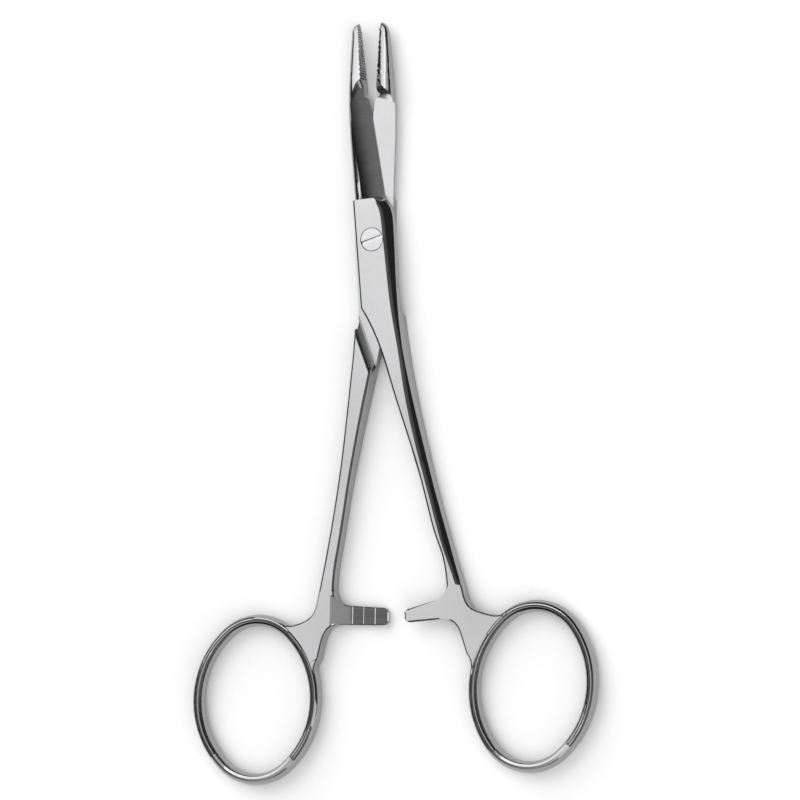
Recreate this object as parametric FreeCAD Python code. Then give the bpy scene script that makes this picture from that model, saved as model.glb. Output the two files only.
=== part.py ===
import FreeCAD, Part
import math
import os
from FreeCAD import Vector

# Surgical needle holder with suture scissors: two ring-handled arms crossing in a screwed lap joint.
# Millimetres. The pivot axis is Z, the jaws point along +Y and the instrument lies on its back at z = 0.
# Each arm is drawn closed, in a frame of its own: jaw on the left, ring on the right, lap face at z = 0,
# with the half that passes the joint in front. The rear arm is the same arm turned half a turn about Y.

# Opening as shown, to each side of the closed line
open_half_angle = 3.0

# Joint plate
joint_half = 2.2
lap_gap = 0.04
plate_width_spine = 3.2
plate_width_bulge = 4.1
bulge_y = 2.2
shoulder_y = 7.6
shoulder_x = 3.66
shoulder_mid_y = 5.9
shoulder_direction = (1, -0.9)
plate_bend_y = -12.4
plate_bend_direction = (0.48, -0.88)
waist_y = -13.0
crotch_y = -20.5
recess_clearance = 0.2
recess_radius = 1.0

# Jaw and scissor blade
tip_y = 40.4
tip_rounding = 1.5
tip_end_share = 0.97
jaw_stations = 6
tip_rounding_steps = 5
heel_y = 27.2
heel_x = -1.1
heel_radius = 1.7
heel_rise = 1.1
heel_steps = 6
jaw_half_tip = 1.0
jaw_half_base = 1.85
jaw_depth_tip = 1.35
jaw_depth_mid = 2.7
jaw_mid_y = 30.0
blade_depth = 3.3
blade_top_y = 22.0
jaw_squareness_tip = 0.62
jaw_squareness_base = 0.8
grip_setback = 0.02
grip_end_y = 26.8
edge_top_x = 0.85
edge_top_y = 26.15
edge_root_x = 2.5
edge_thickness = 0.2
grind_radius = 7.0
grind_top_x = -3.1
grind_root_x = -1.3
grind_arch = [(-3.6, 24.0), (-2.1, 27.0), (-1.1, 29.2), (-0.3, 29.9), (0.8, 30.1)]
grind_arch_start = (1, 1.6)
grind_runout = 0.9
grind_end_y = 8.2
grind_end_lean = 0.27

# Cross serration of the gripping face, and the oval groove in it
serration_start_y = 29.8
serration_pitch = 0.55
serration_width = 0.42
serration_depth = 0.19
serration_angle = 35.0
groove_low_y = 31.55
groove_high_y = 38.2
groove_width = 1.28
groove_depth = 0.38
groove_steps = 14

# Shank
shank_top_y = -28.0
shank_end_y = -64.5
shank_top_width = 3.45
shank_waist_y = -49.0
shank_waist_width = 2.2
shank_taper_y = -45.0
shank_half = 1.6
handle_half = 1.5
shank_stations = 5

# Bevel along the outer front edge: width at each height on the arm
bevel_joint = 1.6
bevel_waist = 0.6
bevel_shank = 1.05
bevel_end = 0.75
bevel_drop = 0.95
bevel_mid_y = -40.0
bevel_fade = 6.0
bevel_overrun = 0.6

# Ratchet
ratchet_fillet = 2.6
ratchet_bottom_drop = 6.1
ratchet_corner = 0.9
ratchet_teeth = 3
tooth_pitch = 2.2
tooth_lead = 2.4
tooth_depth = 0.75
tooth_clearance = 0.05
tooth_flank = 0.15
tooth_ramp_inset = 0.3
tooth_cut_top_drop = 1.1

# Finger rings
ring_bar_half = 1.1
ring_depth_half = 1.75
ring_bar_sides = 16
ring_half_height = 14.6
ring_end_radius = 9.0
web_top_angle = 108.0
web_end_angle = 182.0
web_slope_x = -10.6
web_slope_y = 15.5
web_valley_x = -7.6
web_valley_y = 13.9
web_over_angle = 115.0
web_root = 4.2
web_throat_out = 1.0
web_throat_drop = 7.5
web_taper_in = 0.5
web_taper_drop = 12.6
web_steps = 4
web_foot_angle = 10.0
web_foot_out = 0.45
web_spine_start = (0.15, 1)
web_spine_end = (1, 0.4)

# The two handles, closed: distances to the ring side of the pivot's centre line
front_shank_x = 3.52
front_lean = 11.0
front_crotch_x = 0.05
front_waist_x = 4.0
front_ratchet_tip_x = 0.7
front_ratchet_drop = 1.0
front_ring_x = 23.9
front_ring_drop = 19.7
front_ring_half_width = 11.2
front_ring_tilt = 11.0
rear_shank_x = 2.12
rear_lean = 8.3
rear_crotch_x = -1.1
rear_waist_x = 3.0
rear_ratchet_tip_x = -4.0
rear_ratchet_drop = 0.3
rear_ring_x = 20.92
rear_ring_drop = 20.15
rear_ring_half_width = 11.5
rear_ring_tilt = -1.0

# Pivot screw
screw_head_radius = 2.1
screw_head_depth = 0.9
screw_radius = 1.35
screw_clearance = 0.05
thread_clearance = 0.02
slot_width = 0.45
slot_depth = 0.4
slot_angle = 16.0

# How far cutters run past what they cut: past one face, and past every outline
overrun = 1.0
reach = 60.0

# How closely a height on a curve is found
near = 1e-7


def flat_radius(half_length, half_width, end_radius):
    """Radius of an oval's flatter sides, which meet its round ends without a corner."""
    rise = half_length - end_radius
    return (half_width ** 2 + rise ** 2 - end_radius ** 2) / (2 * (half_width - end_radius))


class Handle:
    """The values in which the two arms differ, all from the pivot's centre line in the closed position."""

    def __init__(self, shank_x, lean, crotch_x, waist_x, tip_x, drop, ring_x, ring_drop, ring_half_width, tilt):
        self.shank_x = shank_x
        self.lean = lean
        self.crotch_x = crotch_x
        self.waist_x = waist_x
        self.tip_x = tip_x
        self.drop = drop
        self.ring_x = ring_x
        self.ring_y = shank_end_y - ring_drop
        self.ring_half_width = ring_half_width
        self.tilt = tilt

    def centre(self, y):
        """Centre line of the shank at a height."""
        return self.shank_x + math.tan(math.radians(self.lean)) * (shank_top_y - y)

    def edge(self, y, side):
        """Inner (-1) or outer (1) edge of the shank at a height."""
        share = (y - shank_waist_y) / (shank_top_y - shank_waist_y)
        width = shank_waist_width + (shank_top_width - shank_waist_width) * share ** 2
        return self.centre(y) + side * width / 2

    def run_off(self):
        """Direction of the shank's outer edge at its lower end."""
        fall = self.edge(shank_end_y - overrun, 1) - self.edge(shank_end_y, 1)
        return fall / overrun, -1

    def on_ring(self, angle, half_width, half_height):
        """A point of an ellipse about the ring's centre, with the ring's tilt."""
        turn = math.radians(angle)
        lean = math.radians(self.tilt)
        u = half_width * math.cos(turn)
        v = half_height * math.sin(turn)
        x = self.ring_x + u * math.cos(lean) + v * math.sin(lean)
        y = self.ring_y - u * math.sin(lean) + v * math.cos(lean)
        return x, y

    def side_radius(self):
        """Radius of the ring's two flatter sides."""
        return flat_radius(ring_half_height, self.ring_half_width, ring_end_radius)

    def on_side(self, angle, radius):
        """A point at an angle about the centre of the ring's left side arc."""
        lean = math.radians(self.tilt)
        side_x = self.side_radius() - self.ring_half_width
        x = self.ring_x + side_x * math.cos(lean) + radius * math.cos(math.radians(angle))
        y = self.ring_y - side_x * math.sin(lean) + radius * math.sin(math.radians(angle))
        return x, y

    def on_end(self, angle, radius):
        """A point at an angle about the centre of the ring's upper end arc."""
        lean = math.radians(self.tilt)
        end_y = ring_half_height - ring_end_radius
        x = self.ring_x + end_y * math.sin(lean) + radius * math.cos(math.radians(angle))
        y = self.ring_y + end_y * math.cos(lean) + radius * math.sin(math.radians(angle))
        return x, y

    def ring_left(self):
        """The ring's outer edge nearest to the pivot's centre line."""
        return self.on_side(180, self.side_radius() + ring_bar_half)[0]


FRONT = Handle(front_shank_x, front_lean, front_crotch_x, front_waist_x, front_ratchet_tip_x,
               front_ratchet_drop, front_ring_x, front_ring_drop, front_ring_half_width, front_ring_tilt)
REAR = Handle(rear_shank_x, rear_lean, rear_crotch_x, rear_waist_x, rear_ratchet_tip_x,
              rear_ratchet_drop, rear_ring_x, rear_ring_drop, rear_ring_half_width, rear_ring_tilt)


def along(table, value):
    """Straight-line interpolation in a table of (value, result) pairs in rising order."""
    for (low, at_low), (high, at_high) in zip(table, table[1:]):
        if value <= high:
            return at_low + (at_high - at_low) * (value - low) / (high - low)
    return table[-1][1]


def spline(points, start, end):
    """A smooth plan curve through points, leaving along start and arriving along end."""
    curve = Part.BSplineCurve()
    curve.interpolate(Points=[Vector(x, y, 0) for x, y in points],
                      InitialTangent=Vector(start[0], start[1], 0),
                      FinalTangent=Vector(end[0], end[1], 0))
    return curve


def line(a, b):
    return Part.LineSegment(Vector(a[0], a[1], 0), Vector(b[0], b[1], 0)).toShape()


def corner(centre, radius, start, end):
    """A plan arc about a centre between two angles in degrees."""
    circle = Part.Circle(Vector(centre[0], centre[1], 0), Vector(0, 0, 1), radius)
    return circle.toShape(math.radians(start), math.radians(end))


def plate(edges, low, high):
    """The solid between two heights inside a closed plan outline."""
    wire = Part.Wire(Part.__sortEdges__(edges))
    face = Part.Face(wire)
    face.translate(Vector(0, 0, low))
    return face.extrude(Vector(0, 0, high - low))


def prism_x(points):
    """A profile of (y, z) points carried across the whole width."""
    wire = Part.makePolygon([Vector(-reach, y, z) for y, z in points + points[:1]])
    return Part.Face(wire).extrude(Vector(2 * reach, 0, 0))


def curve_x(curve, y):
    """The x of a plan curve that falls steadily in y, at a height."""
    low = curve.FirstParameter
    high = curve.LastParameter
    while high - low > near:
        middle = (low + high) / 2
        if curve.value(middle).y > y:
            low = middle
        else:
            high = middle
    return curve.value(low).x


def shank_heights():
    step = (shank_end_y - shank_top_y) / (shank_stations - 1)
    return [shank_top_y + step * i for i in range(shank_stations)]


def shoulder_curve():
    """Outer edge of the joint plate from the blade's shoulder down to the bulge."""
    points = [(edge_root_x, shoulder_y), (shoulder_x, shoulder_mid_y), (plate_width_bulge, bulge_y)]
    return spline(points, shoulder_direction, (0, -1))


def outer_curve(handle):
    """Outer edge of the arm from the joint's bulge down to the end of the shank."""
    points = [(plate_width_bulge, bulge_y), (handle.waist_x, waist_y)]
    points += [(handle.edge(y, 1), y) for y in shank_heights()]
    return spline(points, (0, -1), handle.run_off())


def handle_plan(handle):
    """Closed outline of joint plate, shank, ratchet arm and the web that runs into the ring."""
    inner = [(-plate_width_spine, plate_bend_y), (handle.crotch_x, crotch_y)]
    inner += [(handle.edge(y, -1), y) for y in shank_heights()]
    edges = [line((edge_root_x, shoulder_y), (-plate_width_spine, shoulder_y)),
             line((-plate_width_spine, shoulder_y), (-plate_width_spine, plate_bend_y)),
             spline(inner, plate_bend_direction, (0, -1)).toShape()]

    # Ratchet arm: fillet out of the shank, rounded free end, straight underside
    root_x = handle.edge(shank_end_y, -1)
    ratchet_bottom_y = shank_end_y - ratchet_bottom_drop
    arm_top = shank_end_y - ratchet_fillet
    arm_x = root_x - ratchet_fillet
    tip_top = arm_top - handle.drop
    edges.append(corner((arm_x, shank_end_y), ratchet_fillet, 270, 360))
    tip_in = handle.tip_x + ratchet_corner
    edges.append(line((arm_x, arm_top), (tip_in, tip_top)))
    edges.append(corner((tip_in, tip_top - ratchet_corner), ratchet_corner, 90, 180))
    edges.append(line((handle.tip_x, tip_top - ratchet_corner), (handle.tip_x, ratchet_bottom_y + ratchet_corner)))
    edges.append(corner((tip_in, ratchet_bottom_y + ratchet_corner), ratchet_corner, 180, 270))
    left = handle.ring_left()
    edges.append(line((tip_in, ratchet_bottom_y), (left - web_root, ratchet_bottom_y)))

    # Web: down the near side of the ring, back up inside its bar, and over to the shank
    swing = (web_top_angle - web_end_angle) / web_steps
    spine = [handle.on_ring(web_end_angle + swing * i, handle.ring_half_width, ring_half_height)
             for i in range(web_steps + 1)]
    foot = handle.on_side(180 - web_foot_angle, handle.side_radius() + web_foot_out)
    turn = math.radians(web_foot_angle)
    down = [(left - web_root, ratchet_bottom_y), (left - web_throat_out, shank_end_y - web_throat_drop),
            (left + web_taper_in, shank_end_y - web_taper_drop), foot]
    edges.append(spline(down, (1, 0), (-math.sin(turn), -math.cos(turn))).toShape())
    edges.append(line(foot, spine[0]))
    edges.append(spline(spine, web_spine_start, web_spine_end).toShape())
    crown = handle.on_end(web_over_angle, ring_end_radius + web_foot_out)
    turn = math.radians(web_over_angle)
    over = [(handle.edge(shank_end_y, 1), shank_end_y),
            (handle.ring_x + web_slope_x, handle.ring_y + web_slope_y),
            (handle.ring_x + web_valley_x, handle.ring_y + web_valley_y), crown]
    edges.append(spline(over, handle.run_off(), (math.sin(turn), -math.cos(turn))).toShape())
    edges.append(line(crown, spine[-1]))

    edges.append(outer_curve(handle).toShape())
    edges.append(shoulder_curve().toShape())
    return edges


def thickness_envelope():
    """Everything between the front and back faces: flat over the joint, tapering along the shank."""
    edges = [Part.LineSegment(Vector(0, reach, joint_half), Vector(0, reach, -joint_half)).toShape(),
             Part.LineSegment(Vector(0, -2 * reach, handle_half), Vector(0, -2 * reach, -handle_half)).toShape()]
    for side in (1, -1):
        taper = Part.BSplineCurve()
        taper.interpolate(Points=[Vector(0, crotch_y, side * joint_half), Vector(0, shank_taper_y, side * shank_half),
                                  Vector(0, shank_end_y, side * handle_half)],
                          InitialTangent=Vector(0, -1, 0), FinalTangent=Vector(0, -1, 0))
        edges.append(taper.toShape())
        edges.append(Part.LineSegment(Vector(0, crotch_y, side * joint_half),
                                      Vector(0, reach, side * joint_half)).toShape())
        edges.append(Part.LineSegment(Vector(0, shank_end_y, side * handle_half),
                                      Vector(0, -2 * reach, side * handle_half)).toShape())
    face = Part.Face(Part.Wire(Part.__sortEdges__(edges)))
    face.translate(Vector(-reach, 0, 0))
    return face.extrude(Vector(2 * reach, 0, 0))


def half_thickness(y):
    return along([(shank_end_y, handle_half), (shank_taper_y, shank_half), (crotch_y, joint_half)], y)


def bevel_cutter(handle):
    """What the polished bevel takes off the outer front edge, from the joint to the ratchet."""
    upper = shoulder_curve()
    lower = outer_curve(handle)
    widths = [(shank_end_y, bevel_end), (shank_end_y + bevel_fade, bevel_shank), (bevel_mid_y, bevel_shank),
              (crotch_y, bevel_waist), (bulge_y, bevel_joint), (shoulder_y, bevel_joint)]
    heights = [shoulder_y, shoulder_mid_y, bulge_y, (bulge_y + waist_y) / 2, waist_y, crotch_y, shank_top_y,
               bevel_mid_y, shank_waist_y, shank_end_y + bevel_fade, shank_end_y]
    wires = []
    for y in heights:
        x = curve_x(upper, y) if y > bulge_y else curve_x(lower, y)
        width = along(widths, y)
        drop = width * bevel_drop
        inner = Vector(x - width, y, half_thickness(y))
        outer = Vector(x, y, half_thickness(y) - drop)
        past = outer.sub(inner) * bevel_overrun
        inner = inner.sub(past)
        outer = outer.add(past)
        wires.append(Part.makePolygon([inner, outer, Vector(outer.x, y, inner.z), inner]))
    return Part.makeLoft(wires, True, False)


def recess_cutter(other_crotch_x):
    """Room behind the lap face for the other arm's plate, ending in a ground ramp along its closed edge."""
    a = Vector(plate_width_spine, plate_bend_y, 0)
    b = Vector(-other_crotch_x, crotch_y, 0)
    along_edge = a.sub(b).normalize()
    away = Vector(along_edge.y, -along_edge.x, 0)
    start = b.add(away * recess_clearance)
    up = Vector(0, 0, 1)
    face_z = lap_gap / 2

    def place(s, z):
        return start.add(away * s).add(up * z)

    bottom = face_z - recess_radius
    middle = recess_radius * math.sqrt(0.5)
    arc = Part.Arc(place(0, face_z), place(middle, bottom + middle), place(recess_radius, bottom)).toShape()
    points = [place(recess_radius, bottom), place(recess_radius, -reach), place(-reach, -reach),
              place(-reach, face_z), place(0, face_z)]
    edges = [arc] + [Part.LineSegment(p, q).toShape() for p, q in zip(points, points[1:])]
    face = Part.Face(Part.Wire(Part.__sortEdges__(edges)))
    face.translate(along_edge * -reach)
    return face.extrude(along_edge * (2 * reach))


def tooth_cutter(handle):
    """What is ground off the ratchet arm: its inner half, down to three saw teeth and a run-in ramp."""
    crest = tooth_clearance
    valley = crest + tooth_depth
    before = handle.tip_x - overrun
    points = [(before, -reach), (before, valley), (handle.tip_x, valley)]
    for i in range(ratchet_teeth):
        x = handle.tip_x + tooth_lead + tooth_pitch * i
        points.append((x, crest))
        points.append((x + tooth_flank, valley))
    ramp_end_x = handle.edge(shank_end_y, -1) + tooth_ramp_inset
    points.append((ramp_end_x, -handle_half))
    points.append((ramp_end_x, -reach))
    top_y = shank_end_y - tooth_cut_top_drop
    wire = Part.makePolygon([Vector(x, top_y, z) for x, z in points + points[:1]])
    return Part.Face(wire).extrude(Vector(0, tooth_cut_top_drop - ratchet_bottom_drop - overrun, 0))


def ring_bar(centre, radius, start, end):
    """A length of the ring's oval bar, bent to a radius about a centre between two angles in degrees."""
    rim = []
    for i in range(ring_bar_sides + 1):
        turn = 2 * math.pi * i / ring_bar_sides
        rim.append(Vector(radius + ring_bar_half * math.cos(turn), 0, ring_depth_half * math.sin(turn)))
    section = Part.Face(Part.makePolygon(rim))
    bar = section.revolve(Vector(0, 0, 0), Vector(0, 0, 1), end - start)
    bar.rotate(Vector(0, 0, 0), Vector(0, 0, 1), start)
    bar.translate(Vector(centre[0], centre[1], 0))
    return bar


def ring(handle):
    """Finger ring: an oval bar bent to a four-centred oval."""
    side_x = handle.side_radius() - handle.ring_half_width
    end_y = ring_half_height - ring_end_radius
    turn = math.degrees(math.atan2(end_y, side_x))
    bars = [ring_bar((0, end_y), ring_end_radius, turn, 180 - turn),
            ring_bar((side_x, 0), handle.side_radius(), 180 - turn, 180 + turn),
            ring_bar((0, -end_y), ring_end_radius, 180 + turn, 360 - turn),
            ring_bar((-side_x, 0), handle.side_radius(), -turn, turn)]
    bar = bars[0].fuse(bars[1:])
    bar.rotate(Vector(0, 0, 0), Vector(0, 0, 1), -handle.tilt)
    bar.translate(Vector(handle.ring_x, handle.ring_y, 0))
    return bar


def jaw_size(y):
    """Half thickness, depth behind the gripping plane, and squareness of the back, at a height."""
    half = along([(shoulder_y, joint_half), (jaw_mid_y, jaw_half_base), (tip_y, jaw_half_tip)], y)
    depth = along([(shoulder_y, plate_width_spine), (blade_top_y, blade_depth), (jaw_mid_y, jaw_depth_mid),
                   (tip_y, jaw_depth_tip)], y)
    square = along([(shoulder_y, jaw_squareness_base), (heel_y, jaw_squareness_base),
                    (tip_y, jaw_squareness_tip)], y)
    into_tip = (y - (tip_y - tip_rounding)) / tip_rounding
    if into_tip > 0:
        shrink = math.sqrt(1 - into_tip ** 2)
        half *= shrink
        depth *= shrink
    return half, depth, square


def jaw_section(y):
    """Section of jaw and blade blank: flat front and back, rounded spine on the left."""
    half, depth, square = jaw_size(y)
    right = edge_root_x + overrun
    corners = [Vector(right, y, -half), Vector(right, y, half), Vector(0, y, half)]
    edges = [Part.LineSegment(corners[0], corners[1]).toShape(),
             Part.LineSegment(corners[1], corners[2]).toShape()]
    middle = Vector(-depth, y, 0)
    for side in (1, -1):
        poles = [Vector(0, y, side * half), Vector(-depth * square, y, side * half),
                 Vector(-depth, y, side * half * square), middle]
        quarter = Part.BezierCurve()
        quarter.setPoles(poles if side == 1 else poles[::-1])
        edges.append(quarter.toShape())
    edges.append(Part.LineSegment(Vector(0, y, -half), corners[0]).toShape())
    return Part.Wire(edges)


def grind_centre(y, left_x, right_x):
    """Centre of the hollow grind's circle at a height, from the land at the spine to the cutting edge."""
    half = jaw_size(y)[0]
    left = Vector(left_x, y, half)
    right = Vector(right_x, y, edge_thickness)
    chord = right.sub(left)
    rise = math.sqrt(grind_radius ** 2 - (chord.Length / 2) ** 2)
    normal = Vector(-chord.z, 0, chord.x).normalize()
    return left.add(chord * 0.5).add(normal * rise)


def grind_cutter():
    """Hollow grind of the blade: a cylinder along the edge, with a rounded run-out and a steep shoulder."""
    top = grind_centre(edge_top_y, grind_top_x, edge_top_x)
    root = grind_centre(shoulder_y, grind_root_x, edge_root_x)
    direction = top.sub(root).normalize()
    cylinder = Part.makeCylinder(grind_radius, 3 * reach, root.sub(direction * reach), direction)
    shoulder = prism_x([(grind_end_y, 0), (grind_end_y - grind_end_lean * reach, reach), (reach, reach), (reach, 0)])
    first = grind_arch[0]
    last = grind_arch[-1]
    around = [last, (reach, last[1]), (reach, -reach), (-reach, -reach), (-reach, first[1]), first]
    edges = [line(p, q) for p, q in zip(around, around[1:])]
    edges.append(spline(grind_arch, grind_arch_start, (1, 0)).toShape())
    face = Part.Face(Part.Wire(Part.__sortEdges__(edges)))
    face.translate(Vector(0, -grind_runout * jaw_half_base, 0))
    arch = face.extrude(Vector(0, grind_runout * reach, reach))
    return cylinder.common(shoulder).common(arch)


def serration_cutter(side):
    """One set of parallel V grooves over the gripping face, leaning to one side."""
    length = 2 * (tip_y - serration_start_y)
    count = int(length / serration_pitch)
    above = grip_setback
    spread = serration_width / 2 * (1 + above / serration_depth)
    grooves = []
    for i in range(-count // 2, count // 2 + 1):
        z = i * serration_pitch
        wire = Part.makePolygon([Vector(-serration_depth, -length, z), Vector(above, -length, z - spread),
                                 Vector(above, -length, z + spread), Vector(-serration_depth, -length, z)])
        grooves.append(Part.Face(wire).extrude(Vector(0, 2 * length, 0)))
    grooves = Part.makeCompound(grooves)
    grooves.rotate(Vector(0, 0, 0), Vector(1, 0, 0), side * serration_angle)
    grooves.translate(Vector(-grip_setback, (tip_y + serration_start_y) / 2, 0))
    field = Part.makeBox(2 * overrun, tip_y + overrun - serration_start_y, 4 * jaw_half_base,
                         Vector(-overrun, serration_start_y, -2 * jaw_half_base))
    return grooves.common(field)


def groove_cutter():
    """Oval groove: a spindle about an axis just outside the gripping plane."""
    half_length = (groove_high_y - groove_low_y) / 2
    middle_y = (groove_high_y + groove_low_y) / 2
    radius = (groove_depth ** 2 + (groove_width / 2) ** 2) / (2 * groove_depth)
    outside = radius - groove_depth
    centre = (half_length ** 2 / groove_depth - radius - outside) / 2
    end = math.sqrt((radius + centre) ** 2 - centre ** 2)
    step = 2 * math.atan2(end, centre) / groove_steps
    rim = [Vector(0, -end, 0)]
    for i in range(1, groove_steps):
        turn = step * (i - groove_steps / 2)
        rim.append(Vector(centre - (radius + centre) * math.cos(turn), (radius + centre) * math.sin(turn), 0))
    rim += [Vector(0, end, 0), rim[0]]
    spindle = Part.Face(Part.makePolygon(rim)).revolve(Vector(0, 0, 0), Vector(0, 1, 0), 360)
    spindle.translate(Vector(outside - grip_setback, middle_y, 0))
    return spindle


def heel_cutter():
    """Clears the rear half below the gripping face, where the heel ends in a quarter of an oval, round at the spine."""
    turn = math.pi / 2 / heel_steps
    centre_y = heel_y - heel_radius
    oval = [(heel_radius, lap_gap / 2)]
    oval += [(heel_radius + heel_rise * (1 - math.cos(turn * i)), -jaw_half_base * math.sin(turn * i))
             for i in range(1, heel_steps + 1)]
    profile = [(0, -reach), (0, lap_gap / 2)] + oval + [(heel_radius + heel_rise, -reach)]
    below = prism_x([(0, -reach), (0, lap_gap / 2), (centre_y, lap_gap / 2), (centre_y, -reach)])
    wire = Part.makePolygon([Vector(heel_x, centre_y + y, z) for y, z in profile + profile[:1]])
    section = Part.Face(wire)
    straight = section.extrude(Vector(reach, 0, 0))
    rounded = section.revolve(Vector(heel_x, centre_y, 0), Vector(0, 0, 1), 90)
    return below.fuse([straight, rounded])


def head():
    """Jaw and blade of one arm, from the shoulder of the joint plate to the tip."""
    start = tip_y - tip_rounding
    step = (start - shoulder_y) / jaw_stations
    body = Part.makeLoft([jaw_section(shoulder_y + step * i) for i in range(jaw_stations + 1)], True, False)
    turn = math.pi / 2 / tip_rounding_steps
    rounding = [start + tip_rounding * tip_end_share * math.sin(turn * i) for i in range(tip_rounding_steps + 1)]
    blank = body.fuse(Part.makeLoft([jaw_section(y) for y in rounding], True, True))
    above = tip_y + overrun
    below = shoulder_y - overrun
    outline = [(-grip_setback, above), (-grip_setback, grip_end_y), (edge_top_x, edge_top_y),
               (edge_root_x, shoulder_y), (edge_root_x, below), (reach, below), (reach, above)]
    edges = [line(p, q) for p, q in zip(outline, outline[1:] + outline[:1])]
    blank = blank.cut(plate(edges, -reach, reach))
    blank = blank.cut(heel_cutter()).cut(grind_cutter())
    for side in (1, -1):
        blank = blank.cut(serration_cutter(side))
    return blank.cut(groove_cutter())


def arm(handle, other, jaw):
    """One arm in its own closed frame, with the jaw and blade that both arms share."""
    body = plate(handle_plan(handle), -reach, reach).common(thickness_envelope())
    body = body.cut(bevel_cutter(handle))
    body = body.cut(recess_cutter(other.crotch_x))
    body = body.cut(tooth_cutter(handle))
    return body.fuse([jaw, ring(handle)]).removeSplitter()


def screw_hole(radius):
    return Part.makeCylinder(radius, 2 * reach, Vector(0, 0, -reach))


def front_arm(jaw):
    shape = arm(FRONT, REAR, jaw)
    seat = Part.makeCylinder(screw_head_radius + screw_clearance, reach,
                             Vector(0, 0, joint_half - screw_head_depth - lap_gap / 2))
    shape = shape.cut([screw_hole(screw_radius + screw_clearance), seat])
    shape.rotate(Vector(0, 0, 0), Vector(0, 0, 1), open_half_angle)
    return shape


def rear_arm(jaw):
    shape = arm(REAR, FRONT, jaw).cut(screw_hole(screw_radius + thread_clearance))
    shape.rotate(Vector(0, 0, 0), Vector(0, 1, 0), 180)
    shape.rotate(Vector(0, 0, 0), Vector(0, 0, 1), -open_half_angle)
    return shape


def pivot_screw():
    """Slotted flush screw through the front arm into the rear arm."""
    shank = Part.makeCylinder(screw_radius, 2 * joint_half, Vector(0, 0, -joint_half))
    top = Part.makeCylinder(screw_head_radius, screw_head_depth, Vector(0, 0, joint_half - screw_head_depth))
    slot = Part.makeBox(2 * reach, slot_width, reach, Vector(-reach, -slot_width / 2, joint_half - slot_depth))
    slot.rotate(Vector(0, 0, 0), Vector(0, 0, 1), slot_angle)
    return shank.fuse(top).cut(slot)


def main():
    os.makedirs("parts", exist_ok=True)
    jaw = head()
    nodes = {"front_arm": front_arm(jaw), "rear_arm": rear_arm(jaw), "pivot_screw": pivot_screw()}
    for name, shape in nodes.items():
        shape.translate(Vector(0, 0, joint_half))
        if len(shape.Solids) != 1 or not shape.isValid():
            raise ValueError(name + ": " + str(len(shape.Solids)) + " solids, valid " + str(shape.isValid()))
        print(name, "volume", round(shape.Volume, 1), "mm3, faces", len(shape.Faces))
        shape.Solids[0].exportStep("parts/" + name + ".step")


main()
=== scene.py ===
import logging
import math
from dataclasses import dataclass
from enum import Enum

import bmesh
import bpy
from mathutils import Matrix, Vector
from mathutils.kdtree import KDTree

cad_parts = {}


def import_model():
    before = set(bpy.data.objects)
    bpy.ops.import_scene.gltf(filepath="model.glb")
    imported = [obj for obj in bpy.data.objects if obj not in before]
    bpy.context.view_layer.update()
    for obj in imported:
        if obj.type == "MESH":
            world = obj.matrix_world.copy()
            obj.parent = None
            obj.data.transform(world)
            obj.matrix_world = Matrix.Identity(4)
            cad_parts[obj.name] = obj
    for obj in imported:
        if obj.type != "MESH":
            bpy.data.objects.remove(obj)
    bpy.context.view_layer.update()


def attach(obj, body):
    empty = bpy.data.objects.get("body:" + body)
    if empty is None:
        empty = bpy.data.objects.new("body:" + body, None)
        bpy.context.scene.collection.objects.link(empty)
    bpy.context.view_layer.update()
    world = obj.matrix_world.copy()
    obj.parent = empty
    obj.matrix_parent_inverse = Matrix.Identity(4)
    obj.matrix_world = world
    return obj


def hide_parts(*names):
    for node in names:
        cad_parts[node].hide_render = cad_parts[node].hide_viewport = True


MM = 0.001
log = logging.getLogger("needle_holder")

# How near two vertices are when they are one
WELD = MM / 500

# Noise of the fine marks, and of the slow clouds over them
GRAIN_DETAIL = 3.0
GRAIN_ROUGHNESS = 0.6
GRAIN_STRETCH = 0.03
CLOUD_SIZE = 9 * MM
CLOUD_DETAIL = 4.0

# Share of the marks in the tone (the clouds have the rest)
MARK_SHARE = 0.6

# Values of the noise between which tone and roughness run from low to high
TONE_RANGE = (0.3, 0.7)
GLOSS_RANGE = (0.1, 0.45)

# Blue against red and green in the steel
COOLNESS = 1.015

# Degrees that each arm stands open from the middle, and the leaning of the rear jaw's front
OPEN_ANGLE = 3.0
JAW_CROWN = 0.7


class Grain(Enum):
    """How the fine marks of a finish run."""

    BLASTED = "blasted"
    LENGTHWISE = "lengthwise"
    CROSSWISE = "crosswise"
    TURNED = "turned"


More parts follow.
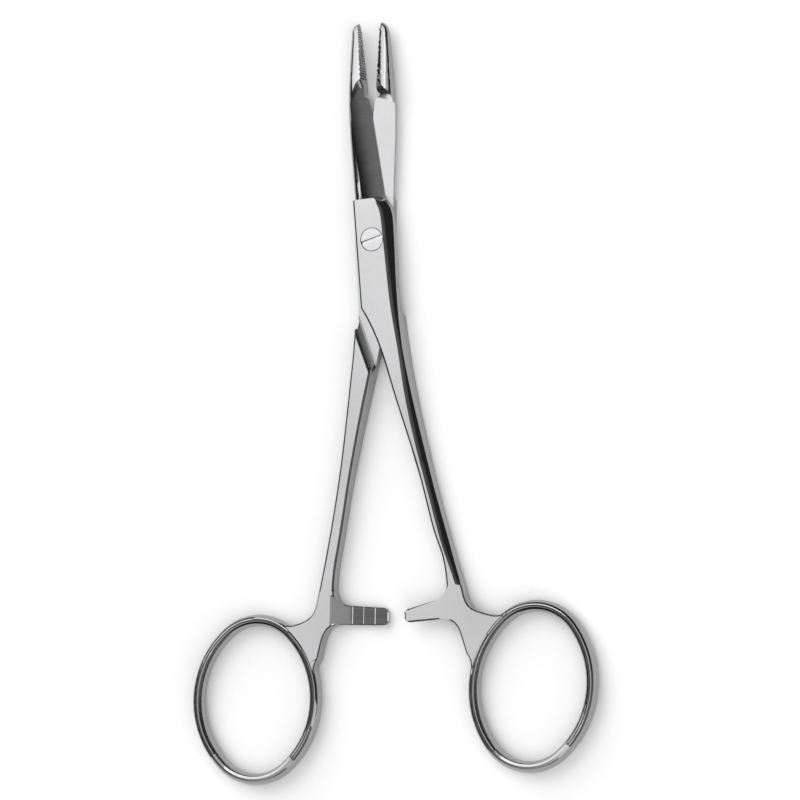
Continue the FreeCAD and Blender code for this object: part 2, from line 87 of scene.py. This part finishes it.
@dataclass(frozen=True)
class SteelFinish:
    """One finish of the stainless steel, with its own grain, gloss and tone."""

    name: str
    tone: float
    tone_spread: float
    roughness: float
    roughness_spread: float
    grain: Grain
    grain_size: float
    grain_depth: float
    metal: float = 1.0

    def material(self) -> bpy.types.Material:
        """Builds the finish as a node material on object coordinates.

        Returns:
            The new material.
        """
        material = bpy.data.materials.new(self.name)
        material.use_nodes = True
        nodes = material.node_tree.nodes
        links = material.node_tree.links
        shader = nodes["Principled BSDF"]
        shader.inputs["Metallic"].default_value = self.metal
        marks = self._marks(nodes, links)
        cloud = self._cloud(nodes, links)
        self._tone(nodes, links, shader, marks, cloud)
        self._gloss(nodes, links, shader, marks, cloud)
        bump = nodes.new("ShaderNodeBump")
        bump.inputs["Strength"].default_value = 1.0
        bump.inputs["Distance"].default_value = self.grain_depth
        links.new(marks, bump.inputs["Height"])
        links.new(bump.outputs["Normal"], shader.inputs["Normal"])
        return material

    def _marks(self, nodes: bpy.types.Nodes, links: bpy.types.NodeLinks) -> bpy.types.NodeSocket:
        """Fine marks left by the finish: blasted pits, or grinding lines along, across or around.

        Args:
            nodes: The material's nodes.
            links: The material's links.

        Returns:
            The socket that carries their height.
        """
        even = (1.0, 1.0, 1.0)
        stretch = {Grain.BLASTED: even, Grain.TURNED: even,
                   Grain.LENGTHWISE: (1.0, GRAIN_STRETCH, 1.0),
                   Grain.CROSSWISE: (GRAIN_STRETCH, 1.0, GRAIN_STRETCH)}
        place = nodes.new("ShaderNodeTexCoord")
        vector = place.outputs["Object"]
        if self.grain is Grain.TURNED:
            vector = self._radius(nodes, links, vector)
        mapping = nodes.new("ShaderNodeMapping")
        mapping.inputs["Scale"].default_value = stretch[self.grain]
        links.new(vector, mapping.inputs["Vector"])
        noise = nodes.new("ShaderNodeTexNoise")
        noise.inputs["Scale"].default_value = 1.0 / self.grain_size
        noise.inputs["Detail"].default_value = GRAIN_DETAIL
        noise.inputs["Roughness"].default_value = GRAIN_ROUGHNESS
        links.new(mapping.outputs["Vector"], noise.inputs["Vector"])
        return noise.outputs["Fac"]

    def _radius(self, nodes: bpy.types.Nodes, links: bpy.types.NodeLinks,
                vector: bpy.types.NodeSocket) -> bpy.types.NodeSocket:
        """Turns a place into its distance from the pivot axis, for marks left by a lathe.

        Args:
            nodes: The material's nodes.
            links: The material's links.
            vector: The place.

        Returns:
            A vector socket with that distance along x.
        """
        flat = nodes.new("ShaderNodeVectorMath")
        flat.operation = "MULTIPLY"
        flat.inputs[1].default_value = (1.0, 1.0, 0.0)
        links.new(vector, flat.inputs[0])
        length = nodes.new("ShaderNodeVectorMath")
        length.operation = "LENGTH"
        links.new(flat.outputs["Vector"], length.inputs[0])
        combine = nodes.new("ShaderNodeCombineXYZ")
        links.new(length.outputs["Value"], combine.inputs["X"])
        return combine.outputs["Vector"]

    def _cloud(self, nodes: bpy.types.Nodes, links: bpy.types.NodeLinks) -> bpy.types.NodeSocket:
        """Slow changes over the surface, as handling and polishing leave them.

        Args:
            nodes: The material's nodes.
            links: The material's links.

        Returns:
            The socket that carries them, from 0 to 1.
        """
        place = nodes.new("ShaderNodeTexCoord")
        noise = nodes.new("ShaderNodeTexNoise")
        noise.inputs["Scale"].default_value = 1.0 / CLOUD_SIZE
        noise.inputs["Detail"].default_value = CLOUD_DETAIL
        links.new(place.outputs["Object"], noise.inputs["Vector"])
        return noise.outputs["Fac"]

    def _tone(self, nodes: bpy.types.Nodes, links: bpy.types.NodeLinks, shader: bpy.types.Node,
              marks: bpy.types.NodeSocket, cloud: bpy.types.NodeSocket) -> None:
        """Colours the steel from its marks and clouds.

        Args:
            nodes: The material's nodes.
            links: The material's links.
            shader: The shader to colour.
            marks: Height of the fine marks.
            cloud: Slow changes.
        """
        both = nodes.new("ShaderNodeMath")
        both.operation = "MULTIPLY_ADD"
        both.inputs[1].default_value = MARK_SHARE
        links.new(marks, both.inputs[0])
        part = nodes.new("ShaderNodeMath")
        part.operation = "MULTIPLY"
        part.inputs[1].default_value = 1.0 - MARK_SHARE
        links.new(cloud, part.inputs[0])
        links.new(part.outputs["Value"], both.inputs[2])
        ramp = nodes.new("ShaderNodeValToRGB")
        tones = (self.tone - self.tone_spread, self.tone + self.tone_spread)
        for element, position, tone in zip(ramp.color_ramp.elements, TONE_RANGE, tones):
            element.position = position
            element.color = (tone, tone, tone * COOLNESS, 1.0)
        links.new(both.outputs["Value"], ramp.inputs["Fac"])
        links.new(ramp.outputs["Color"], shader.inputs["Base Color"])

    def _gloss(self, nodes: bpy.types.Nodes, links: bpy.types.NodeLinks, shader: bpy.types.Node,
               marks: bpy.types.NodeSocket, cloud: bpy.types.NodeSocket) -> None:
        """Varies the roughness with the marks and clouds.

        Args:
            nodes: The material's nodes.
            links: The material's links.
            shader: The shader to set.
            marks: Height of the fine marks.
            cloud: Slow changes.
        """
        both = nodes.new("ShaderNodeMath")
        both.operation = "MULTIPLY"
        links.new(marks, both.inputs[0])
        links.new(cloud, both.inputs[1])
        spread = nodes.new("ShaderNodeMapRange")
        spread.inputs["From Min"].default_value = GLOSS_RANGE[0]
        spread.inputs["From Max"].default_value = GLOSS_RANGE[1]
        spread.inputs["To Min"].default_value = self.roughness - self.roughness_spread
        spread.inputs["To Max"].default_value = self.roughness + self.roughness_spread
        links.new(both.outputs["Value"], spread.inputs["Value"])
        links.new(spread.outputs["Result"], shader.inputs["Roughness"])


SATIN = SteelFinish("satin_steel", 0.43, 0.05, 0.36, 0.05, Grain.BLASTED, 0.16 * MM, 0.006 * MM)
POLISHED = SteelFinish("polished_steel", 0.33, 0.02, 0.1, 0.02, Grain.LENGTHWISE, 0.5 * MM, 0.0004 * MM)
# Hollow grind: its very dark tone is painted shade for the grind's slope away from the light
GROUND_STEEL_PAINTED_SHADE = SteelFinish("hollow_ground_steel_painted_shade", 0.11, 0.03, 0.22, 0.04, Grain.CROSSWISE, 0.12 * MM, 0.0012 * MM)
CUT = SteelFinish("cut_steel", 0.36, 0.05, 0.22, 0.05, Grain.BLASTED, 0.1 * MM, 0.002 * MM)
# Ratchet ramps and the run-out under the jaw: cut steel whose dark tone is painted shade
CUT_STEEL_PAINTED_SHADE = SteelFinish("cut_steel_painted_shade", 0.1, 0.03, 0.32, 0.05, Grain.CROSSWISE, 0.14 * MM, 0.003 * MM)
# Ratchet crests: a bright, mostly matt tone that is a painted highlight
PAINTED_CREST_HIGHLIGHT = SteelFinish("crest_painted_highlight", 0.85, 0.03, 0.4, 0.05, Grain.BLASTED, 0.1 * MM, 0.001 * MM,
                     metal=0.2)
# Front and back faces of the rounded edges: a near-black tone that is painted shade, drawing dark outlines
PAINTED_EDGE_SHADE = SteelFinish("edge_steel_painted_shade", 0.06, 0.02, 0.3, 0.05, Grain.LENGTHWISE, 0.3 * MM,
                        0.0005 * MM)
# Recess ramp and ratchet root: a darker, mostly matt copy of the satin steel, painted shade
RECESS_PAINTED_SHADE = SteelFinish("recess_steel_painted_shade", 0.22, 0.04, 0.5, 0.05, Grain.BLASTED, 0.16 * MM, 0.006 * MM,
                     metal=0.2)
TURNED = SteelFinish("turned_steel", 0.5, 0.05, 0.2, 0.04, Grain.TURNED, 0.09 * MM, 0.0015 * MM)


class Region(Enum):
    """The surfaces of an arm that are finished in different ways."""

    FLAT = 0
    ROUNDED = 1
    GRIND = 2
    GRIP = 3
    TOOTH = 4
    CREST = 5
    EDGE = 6
    RECESS = 7


# Finishes of the regions: the grind, tooth, edge and recess tones are painted shade, the crest's tone a
# painted highlight
FINISHES = {Region.FLAT: SATIN, Region.ROUNDED: POLISHED, Region.GRIND: GROUND_STEEL_PAINTED_SHADE, Region.GRIP: CUT,
            Region.TOOTH: CUT_STEEL_PAINTED_SHADE, Region.CREST: PAINTED_CREST_HIGHLIGHT, Region.EDGE: PAINTED_EDGE_SHADE, Region.RECESS: RECESS_PAINTED_SHADE}


class SurfaceNormals:
    """The exact surface normals of a node, found again at any place on it."""

    def __init__(self, mesh: bpy.types.Mesh, touch: float = 0.004 * MM, around: float = 0.9 * MM,
                 spread: float = 27.0, digits: int = 2) -> None:
        """Reads the normals.

        Args:
            mesh: The node's mesh.
            touch: How near counts as the same place.
            around: How far to look when nothing is there.
            spread: The greatest angle, in degrees, between normals of one smooth surface.
            digits: The decimals to which two equal normals agree.
        """
        self.touch = touch
        self.around = around
        self.digits = digits
        self.limit = math.cos(math.radians(spread))
        self.normals = [Vector(corner.vector) for corner in mesh.corner_normals]
        self.tree = KDTree(len(mesh.loops))
        for index, loop in enumerate(mesh.loops):
            self.tree.insert(mesh.vertices[loop.vertex_index].co, index)
        self.tree.balance()

    def at(self, place: Vector, facing: Vector) -> Vector:
        """The normal at a place on the surface that faces a way.

        Args:
            place: The place.
            facing: The normal of the face that lies there.

        Returns:
            The normal, or the facing itself where the surface has none.
        """
        found = self.tree.find_range(place, self.touch)
        if not found:
            near = sorted(self.tree.find_range(place, self.around), key=lambda hit: hit[2])
            fit = [hit for hit in near if self.normals[hit[1]].dot(facing) > self.limit]
            found = [hit for hit in fit if hit[2] < fit[0][2] + self.touch] if fit else []
        total = Vector((0.0, 0.0, 0.0))
        seen = set()
        for _, index, _ in found:
            normal = self.normals[index]
            key = tuple(round(value, self.digits) for value in normal)
            if key not in seen and normal.dot(facing) > self.limit:
                seen.add(key)
                total += normal
        return total.normalized() if seen else facing.copy()


@dataclass(frozen=True)
class EdgeBreak:
    """How the sharp edges of one stretch of an arm are rounded."""

    low: float
    high: float
    offset: float
    segments: int


@dataclass
class Arm:
    """One forged arm, dressed from its node, with rounded edges and a finish for each surface.

    Places are in the arm's own drawing. A name that ends in facing is the least share of a face's
    normal that points a certain way, and one that ends in slant the greatest share of it lengthwise.
    """

    node: str
    body: str
    open_angle: float
    turned: bool

    # Leaning of the jaw front's normals towards the gripping face
    crown: float = 0.0
    front_facing: float = 0.85
    jaw_width: float = 2.7 * MM

    # Height of the lap face over the floor, and how far from it an edge belongs to it
    mid_height: float = 2.2 * MM
    lap_height: float = 0.1 * MM

    # Rounded edges
    edge_breaks: tuple[EdgeBreak, ...] = (EdgeBreak(-64.4 * MM, 6.9 * MM, 0.4 * MM, 4),
                                          EdgeBreak(-95.0 * MM, -64.4 * MM, 0.3 * MM, 3))
    tooth_break: float = 0.15 * MM
    hole_break: float = 0.06 * MM
    fine_segments: int = 2
    hole_reach: float = 2.6 * MM
    edge_angle: float = 28.0
    short_edge: float = 0.5 * MM
    flat_angle: float = 0.02

    # Gripping face
    grip_low: float = 26.7 * MM
    grip_reach: float = -0.6 * MM
    grip_facing: float = 0.3

    # Hollow grind, and its run-out under the jaw
    grind_low: float = 7.9 * MM
    grind_high: float = 30.2 * MM
    grind_facing: float = 0.04
    grind_front_facing: float = 0.2
    runout_low: float = 25.0 * MM
    runout_facing: float = 0.2

    # Ramp at the end of the recess
    ramp_low: float = -25.5 * MM
    ramp_high: float = -12.0 * MM
    ramp_up_facing: float = 0.1
    ramp_side_facing: float = 0.3
    ramp_back_facing: float = 0.05

    # Ratchet teeth and the ramp at their root
    tooth_reach: float = 9.6 * MM
    tooth_low: float = -70.8 * MM
    tooth_high: float = -65.4 * MM
    tooth_crest: float = 0.9 * MM
    tooth_back: float = -1.4 * MM
    tooth_facing: float = 0.15
    crest_slant: float = 0.3
    root_reach: float = 10.5 * MM
    root_facing: float = 0.45
    root_slant: float = 0.2

    # Flat faces, and rounded edges that show from the front or the back, whose near-black tone is painted
    # shade
    flat_lean: float = 4.0
    edge_facing: float = 0.5

    def to_drawing(self) -> Matrix:
        """Matrix from the frame to the arm's own drawing: closed, jaw on the left, lap face at zero.

        Returns:
            The matrix.
        """
        lift = Matrix.Translation((0.0, 0.0, -self.mid_height))
        close = Matrix.Rotation(math.radians(-self.open_angle), 4, "Z")
        turn = Matrix.Rotation(math.pi, 4, "Y") if self.turned else Matrix.Identity(4)
        return turn @ close @ lift

    def region(self, face: bmesh.types.BMFace, drawing: Matrix, rounded: bool) -> Region:
        """Tells which surface of the arm a face belongs to.

        Args:
            face: The face.
            drawing: Matrix to the arm's own drawing.
            rounded: Whether it is part of a rounded edge.

        Returns:
            Its region.
        """
        place = drawing @ face.calc_center_median()
        normal = drawing.to_3x3() @ face.normal
        if place.y > self.grip_low and normal.x > self.grip_facing and place.x > self.grip_reach:
            return Region.GRIP
        if place.y < self.grind_high and normal.z > self.grind_front_facing:
            if place.y > self.runout_low and normal.y < -self.runout_facing:
                return Region.TOOTH
            if place.y > self.grind_low and normal.x > self.grind_facing:
                return Region.GRIND
        if self.is_tooth(place):
            if rounded:
                return Region.CREST if abs(normal.y) < self.crest_slant else Region.EDGE
            if normal.z < -self.tooth_facing:
                return Region.RECESS if normal.x < -self.root_facing else Region.TOOTH
        if rounded:
            if self.is_root(place, normal):
                return Region.RECESS
            return Region.EDGE if abs(normal.z) > self.edge_facing else Region.ROUNDED
        if self.is_ramp(place, normal):
            return Region.RECESS
        if abs(normal.z) > math.cos(math.radians(self.flat_lean)):
            return Region.FLAT
        return Region.ROUNDED

    def build(self) -> bpy.types.Object:
        """Makes the dressed arm.

        Returns:
            The new object, in place.
        """
        surface = SurfaceNormals(bpy.data.objects[self.node].data)
        mesh = merged_copy(self.node, self.flat_angle)
        strips = self.break_edges(mesh)
        drawing = self.to_drawing()
        for face in mesh.faces:
            face.smooth = True
            face.material_index = self.region(face, drawing, face.index in strips).value
        normals = corner_normals(mesh, surface, strips)
        self.crown_jaw(mesh, normals)
        piece = new_piece(self.node + "_steel", mesh)
        piece.data.normals_split_custom_set(normals)
        for region in Region:
            piece.data.materials.append(finish_material(FINISHES[region]))
        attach(piece, self.body)
        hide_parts(self.node)
        return piece

    def sharp_edges(self, mesh: bmesh.types.BMesh) -> list[tuple[bmesh.types.BMEdge, Vector]]:
        """Lists the outward sharp edges, apart from those of the lap face and the ratchet's shortest.

        Args:
            mesh: The arm's mesh.

        Returns:
            The edges, each with its middle in the arm's own drawing.
        """
        drawing = self.to_drawing()
        found = []
        for edge in mesh.edges:
            if not edge.is_manifold or not edge.is_convex:
                continue
            ends = [drawing @ vertex.co for vertex in edge.verts]
            middle = (ends[0] + ends[1]) / 2
            ratchet = middle.x < self.tooth_reach and self.tooth_low < middle.y < self.tooth_high
            if ratchet and edge.calc_length() < self.short_edge:
                continue
            if edge.calc_face_angle() > math.radians(self.edge_angle):
                if self.is_tooth(middle) or max(abs(end.z) for end in ends) > self.lap_height:
                    found.append((edge, middle))
        return found

    def is_tooth(self, place: Vector) -> bool:
        """Tells whether a place of the arm's own drawing lies on the ratchet teeth."""
        return (place.x < self.tooth_reach and self.tooth_low < place.y < self.tooth_high
                and self.tooth_back < place.z < self.tooth_crest)

    def is_root(self, place: Vector, normal: Vector) -> bool:
        """Tells whether a face of a rounded edge lies across the root of the ratchet."""
        near = self.tooth_low < place.y < self.tooth_high and place.x < self.root_reach
        return near and abs(normal.y) < self.root_slant and normal.z < -self.edge_facing

    def is_ramp(self, place: Vector, normal: Vector) -> bool:
        """Tells whether a face lies on the ramp at the end of the recess."""
        return (self.ramp_low < place.y < self.ramp_high and normal.y > self.ramp_up_facing
                and normal.x < -self.ramp_side_facing and normal.z < -self.ramp_back_facing)

    def crown_jaw(self, mesh: bmesh.types.BMesh, normals: list[Vector]) -> None:
        """Leans the normals of the jaw's front towards its gripping face, as a crowned jaw has them.

        Args:
            mesh: The finished mesh.
            normals: The normals of its corners, which are changed.
        """
        drawing = self.to_drawing()
        lean = drawing.to_3x3().inverted() @ Vector((self.crown, 0.0, 0.0))
        corners = [(face, loop) for face in mesh.faces for loop in face.loops]
        for index, (face, loop) in enumerate(corners):
            place = drawing @ loop.vert.co
            if abs(face.normal.z) > self.front_facing and place.y > self.grip_low:
                share = min(max(1.0 + place.x / self.jaw_width, 0.0), 1.0)
                normals[index] = (normals[index] + lean * share).normalized()

    def break_edges(self, mesh: bmesh.types.BMesh) -> set[int]:
        """Rounds the sharp edges of joint plate, shank, ratchet and web, and leaves jaw and blade sharp.

        Args:
            mesh: The arm's mesh, which is changed.

        Returns:
            The rounded strips, as the indices of their faces.
        """
        layer = mesh.faces.layers.int.new("edge_break")
        for group in self.edge_breaks:
            chosen = [edge for edge, place in self.sharp_edges(mesh)
                      if group.low < place.y < group.high and not self.is_tooth(place)
                      and place.to_2d().length > self.hole_reach]
            round_edges(mesh, layer, chosen, group.offset, group.segments)
        teeth = [edge for edge, place in self.sharp_edges(mesh) if self.is_tooth(place)]
        round_edges(mesh, layer, teeth, self.tooth_break, self.fine_segments)
        holes = [edge for edge, place in self.sharp_edges(mesh) if place.to_2d().length < self.hole_reach]
        round_edges(mesh, layer, holes, self.hole_break, self.fine_segments)
        mesh.faces.index_update()
        return {face.index for face in mesh.faces if face[layer]}


def merged_copy(node: str, flat_angle: float) -> bmesh.types.BMesh:
    """Copies a node's mesh, with its doubles merged and its flat faces made whole.

    Args:
        node: The node.
        flat_angle: The greatest angle, in degrees, at which two faces count as flat.

    Returns:
        The copy.
    """
    mesh = bmesh.new()
    mesh.from_mesh(bpy.data.objects[node].data)
    bmesh.ops.remove_doubles(mesh, verts=mesh.verts, dist=WELD)
    bmesh.ops.dissolve_limit(mesh, angle_limit=math.radians(flat_angle), use_dissolve_boundaries=False,
                             verts=mesh.verts, edges=mesh.edges, delimit=set())
    return mesh


def round_edges(mesh: bmesh.types.BMesh, layer: bmesh.types.BMLayerItem, edges: list[bmesh.types.BMEdge],
                offset: float, segments: int) -> None:
    """Rounds edges that have not been rounded yet, and marks the new faces.

    Args:
        mesh: The mesh, which is changed.
        layer: The layer of marks.
        edges: The edges.
        offset: How far the rounding reaches.
        segments: Its steps.
    """
    fresh = [edge for edge in edges if not any(face[layer] for face in edge.link_faces)]
    done = bmesh.ops.bevel(mesh, geom=fresh, offset=offset, offset_type="OFFSET", segments=segments,
                           profile=0.5, affect="EDGES", clamp_overlap=False, material=-1, loop_slide=True)
    for face in done["faces"]:
        face[layer] = 1


def corner_normals(mesh: bmesh.types.BMesh, surface: SurfaceNormals, strips: set[int]) -> list[Vector]:
    """Gives every face corner its normal: exact on the surfaces, blended over the rounded strips.

    Args:
        mesh: The finished mesh.
        surface: The node's own normals.
        strips: The rounded strips, as the indices of their faces.

    Returns:
        The normals, in the order of the mesh's corners.
    """
    plain = {}
    beside = {}
    for face in mesh.faces:
        if face.index in strips:
            continue
        for loop in face.loops:
            normal = surface.at(loop.vert.co, face.normal)
            plain[loop] = normal
            beside.setdefault(loop.vert, Vector((0.0, 0.0, 0.0)))
            beside[loop.vert] += normal
    normals = []
    for face in mesh.faces:
        for loop in face.loops:
            if loop in plain:
                normals.append(plain[loop])
            elif loop.vert in beside:
                normals.append(beside[loop.vert].normalized())
            else:
                total = Vector((0.0, 0.0, 0.0))
                for other in loop.vert.link_faces:
                    total += other.normal * other.calc_area()
                normals.append(total.normalized())
    return normals


@dataclass
class PivotScrew:
    """The slotted flush screw."""

    node: str = "pivot_screw"
    body: str = "rear"
    edge_break: float = 0.06 * MM
    segments: int = 2
    edge_angle: float = 40.0
    flat_angle: float = 0.4

    def build(self) -> bpy.types.Object:
        """Makes the dressed screw.

        Returns:
            The new object, in place.
        """
        mesh = merged_copy(self.node, self.flat_angle)
        limit = math.radians(self.edge_angle)
        sharp = [edge for edge in mesh.edges if edge.is_manifold and edge.calc_face_angle() > limit]
        bmesh.ops.bevel(mesh, geom=sharp, offset=self.edge_break, offset_type="OFFSET",
                        segments=self.segments, profile=0.5, affect="EDGES", clamp_overlap=True, material=-1)
        for face in mesh.faces:
            face.smooth = True
        piece = new_piece(self.node + "_steel", mesh)
        piece.data.materials.append(finish_material(TURNED))
        weigh_normals(piece)
        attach(piece, self.body)
        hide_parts(self.node)
        return piece


def new_piece(name: str, mesh: bmesh.types.BMesh) -> bpy.types.Object:
    """Puts a finished mesh into the scene.

    Args:
        name: The piece's name.
        mesh: Its mesh, which is freed.

    Returns:
        The new object.
    """
    data = bpy.data.meshes.new(name)
    mesh.to_mesh(data)
    mesh.free()
    piece = bpy.data.objects.new(name, data)
    bpy.context.scene.collection.objects.link(piece)
    return piece


def weigh_normals(piece: bpy.types.Object) -> None:
    """Keeps flat faces flat between their rounded edges."""
    weighted = piece.modifiers.new("even_normals", "WEIGHTED_NORMAL")
    weighted.keep_sharp = True


def finish_material(finish: SteelFinish) -> bpy.types.Material:
    """The material of a finish, built once."""
    return bpy.data.materials.get(finish.name) or finish.material()


@dataclass(frozen=True)
class Lamp:
    """One soft square light: its place and side in metres, and its power in watts."""

    name: str
    place: tuple[float, float, float]
    size: float
    power: float

    def build(self) -> None:
        """Adds the light, facing the instrument."""
        data = bpy.data.lights.new(self.name, "AREA")
        data.shape = "SQUARE"
        data.size = self.size
        data.energy = self.power
        lamp = bpy.data.objects.new(self.name, data)
        lamp.location = self.place
        lamp.rotation_euler = Vector(self.place).to_track_quat("Z", "Y").to_euler()
        bpy.context.scene.collection.objects.link(lamp)


@dataclass
class Studio:
    """A pale floor, soft light and the camera at the photograph's angle.

    The sky's pairs are the height on the sky's ball, from the horizon up, and the tone there.
    """

    floor_size: float = 6.0
    floor_tone: float = 0.93
    floor_spread: float = 0.01
    floor_fibres: float = 900.0
    floor_roughness: float = 0.9
    floor_gloss: float = 0.1
    lamps: tuple[Lamp, ...] = (Lamp("key_light", (-0.7, 0.9, 0.9), 1.8, 19.0),
                               Lamp("fill_light", (0.9, -0.7, 0.8), 1.8, 14.0))
    pixel: float = 0.1837 * MM
    frame_pixels: float = 800.0
    pivot_pixel: tuple[float, float] = (375.8, 240.6)
    pivot_height: float = 2.2 * MM
    lean: float = 20.0
    nod: float = 5.0
    roll: float = 1.4
    lens: float = 250.0
    sensor: float = 36.0
    sky_strength: float = 1.4
    sky: tuple[tuple[float, float], ...] = ((0.0, 0.5), (0.05, 0.03), (0.5, 0.03),
                                            (0.8, 0.4), (0.9, 0.75), (1.0, 0.8))

    def build(self) -> None:
        """Makes the floor, the light and the camera."""
        self.floor()
        self.world()
        for lamp in self.lamps:
            lamp.build()
        self.camera()

    def floor(self) -> None:
        """A plain pale floor at the height on which the instrument lies."""
        mesh = bmesh.new()
        bmesh.ops.create_grid(mesh, x_segments=1, y_segments=1, size=self.floor_size / 2)
        floor = new_piece("floor", mesh)
        floor.data.materials.append(self.floor_material())

    def floor_material(self) -> bpy.types.Material:
        """Matt pale paper.

        Returns:
            The new material.
        """
        material = bpy.data.materials.new("pale_paper")
        material.use_nodes = True
        nodes = material.node_tree.nodes
        links = material.node_tree.links
        shader = nodes["Principled BSDF"]
        shader.inputs["Roughness"].default_value = self.floor_roughness
        shader.inputs["Specular IOR Level"].default_value = self.floor_gloss
        place = nodes.new("ShaderNodeTexCoord")
        noise = nodes.new("ShaderNodeTexNoise")
        noise.inputs["Scale"].default_value = self.floor_fibres
        ramp = nodes.new("ShaderNodeValToRGB")
        tones = (self.floor_tone - self.floor_spread, self.floor_tone)
        for element, tone in zip(ramp.color_ramp.elements, tones):
            element.color = (tone, tone, tone, 1.0)
        links.new(place.outputs["Object"], noise.inputs["Vector"])
        links.new(noise.outputs["Fac"], ramp.inputs["Fac"])
        links.new(ramp.outputs["Color"], shader.inputs["Base Color"])
        return material

    def world(self) -> None:
        """A soft white room with one dark band low around it, which polished steel mirrors."""
        world = bpy.data.worlds.new("studio")
        bpy.context.scene.world = world
        world.use_nodes = True
        nodes = world.node_tree.nodes
        links = world.node_tree.links
        place = nodes.new("ShaderNodeTexCoord")
        split = nodes.new("ShaderNodeSeparateXYZ")
        ramp = nodes.new("ShaderNodeValToRGB")
        elements = ramp.color_ramp.elements
        for position, _ in self.sky[1:-1]:
            elements.new(position)
        for element, (position, tone) in zip(elements, self.sky):
            element.position = position
            element.color = (tone, tone, tone, 1.0)
        links.new(place.outputs["Generated"], split.inputs["Vector"])
        links.new(split.outputs["Z"], ramp.inputs["Fac"])
        background = nodes["Background"]
        background.inputs["Strength"].default_value = self.sky_strength
        links.new(ramp.outputs["Color"], background.inputs["Color"])

    def camera(self) -> None:
        """Stands the camera where it sees the instrument as the photograph does."""
        lean = math.radians(self.lean)
        nod = math.radians(self.nod)
        roll = math.radians(self.roll)
        back = Vector((math.sin(lean) * math.cos(nod), -math.sin(nod), math.cos(lean) * math.cos(nod)))
        level = Vector((math.cos(lean), 0.0, -math.sin(lean)))
        upright = back.cross(level)
        right = level * math.cos(roll) - upright * math.sin(roll)
        up = level * math.sin(roll) + upright * math.cos(roll)
        middle = self.frame_pixels / 2
        across = (middle - self.pivot_pixel[0]) * self.pixel
        down = (middle - self.pivot_pixel[1]) * self.pixel
        target = Vector((0.0, 0.0, self.pivot_height)) + right * across - up * down
        distance = self.frame_pixels * self.pixel * self.lens / self.sensor
        data = bpy.data.cameras.new("camera")
        data.lens = self.lens
        data.sensor_width = self.sensor
        data.clip_end = 2 * distance + self.floor_size
        camera = bpy.data.objects.new("camera", data)
        turn = Matrix((right, up, back)).transposed().to_4x4()
        camera.matrix_world = Matrix.Translation(target + back * distance) @ turn
        bpy.context.scene.collection.objects.link(camera)
        bpy.context.scene.camera = camera


def main() -> None:
    """Dresses the needle holder and sets up its studio."""
    logging.basicConfig(level=logging.INFO, format="%(message)s")
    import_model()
    pieces = [Arm("front_arm", "front", OPEN_ANGLE, False).build(),
              Arm("rear_arm", "rear", -OPEN_ANGLE, True, crown=JAW_CROWN).build(),
              PivotScrew().build()]
    for piece in pieces:
        log.info("%s: %d faces", piece.name, len(piece.data.polygons))
    Studio().build()
    bpy.context.scene.view_settings.view_transform = "Standard"


if __name__ == "__main__":
    main()
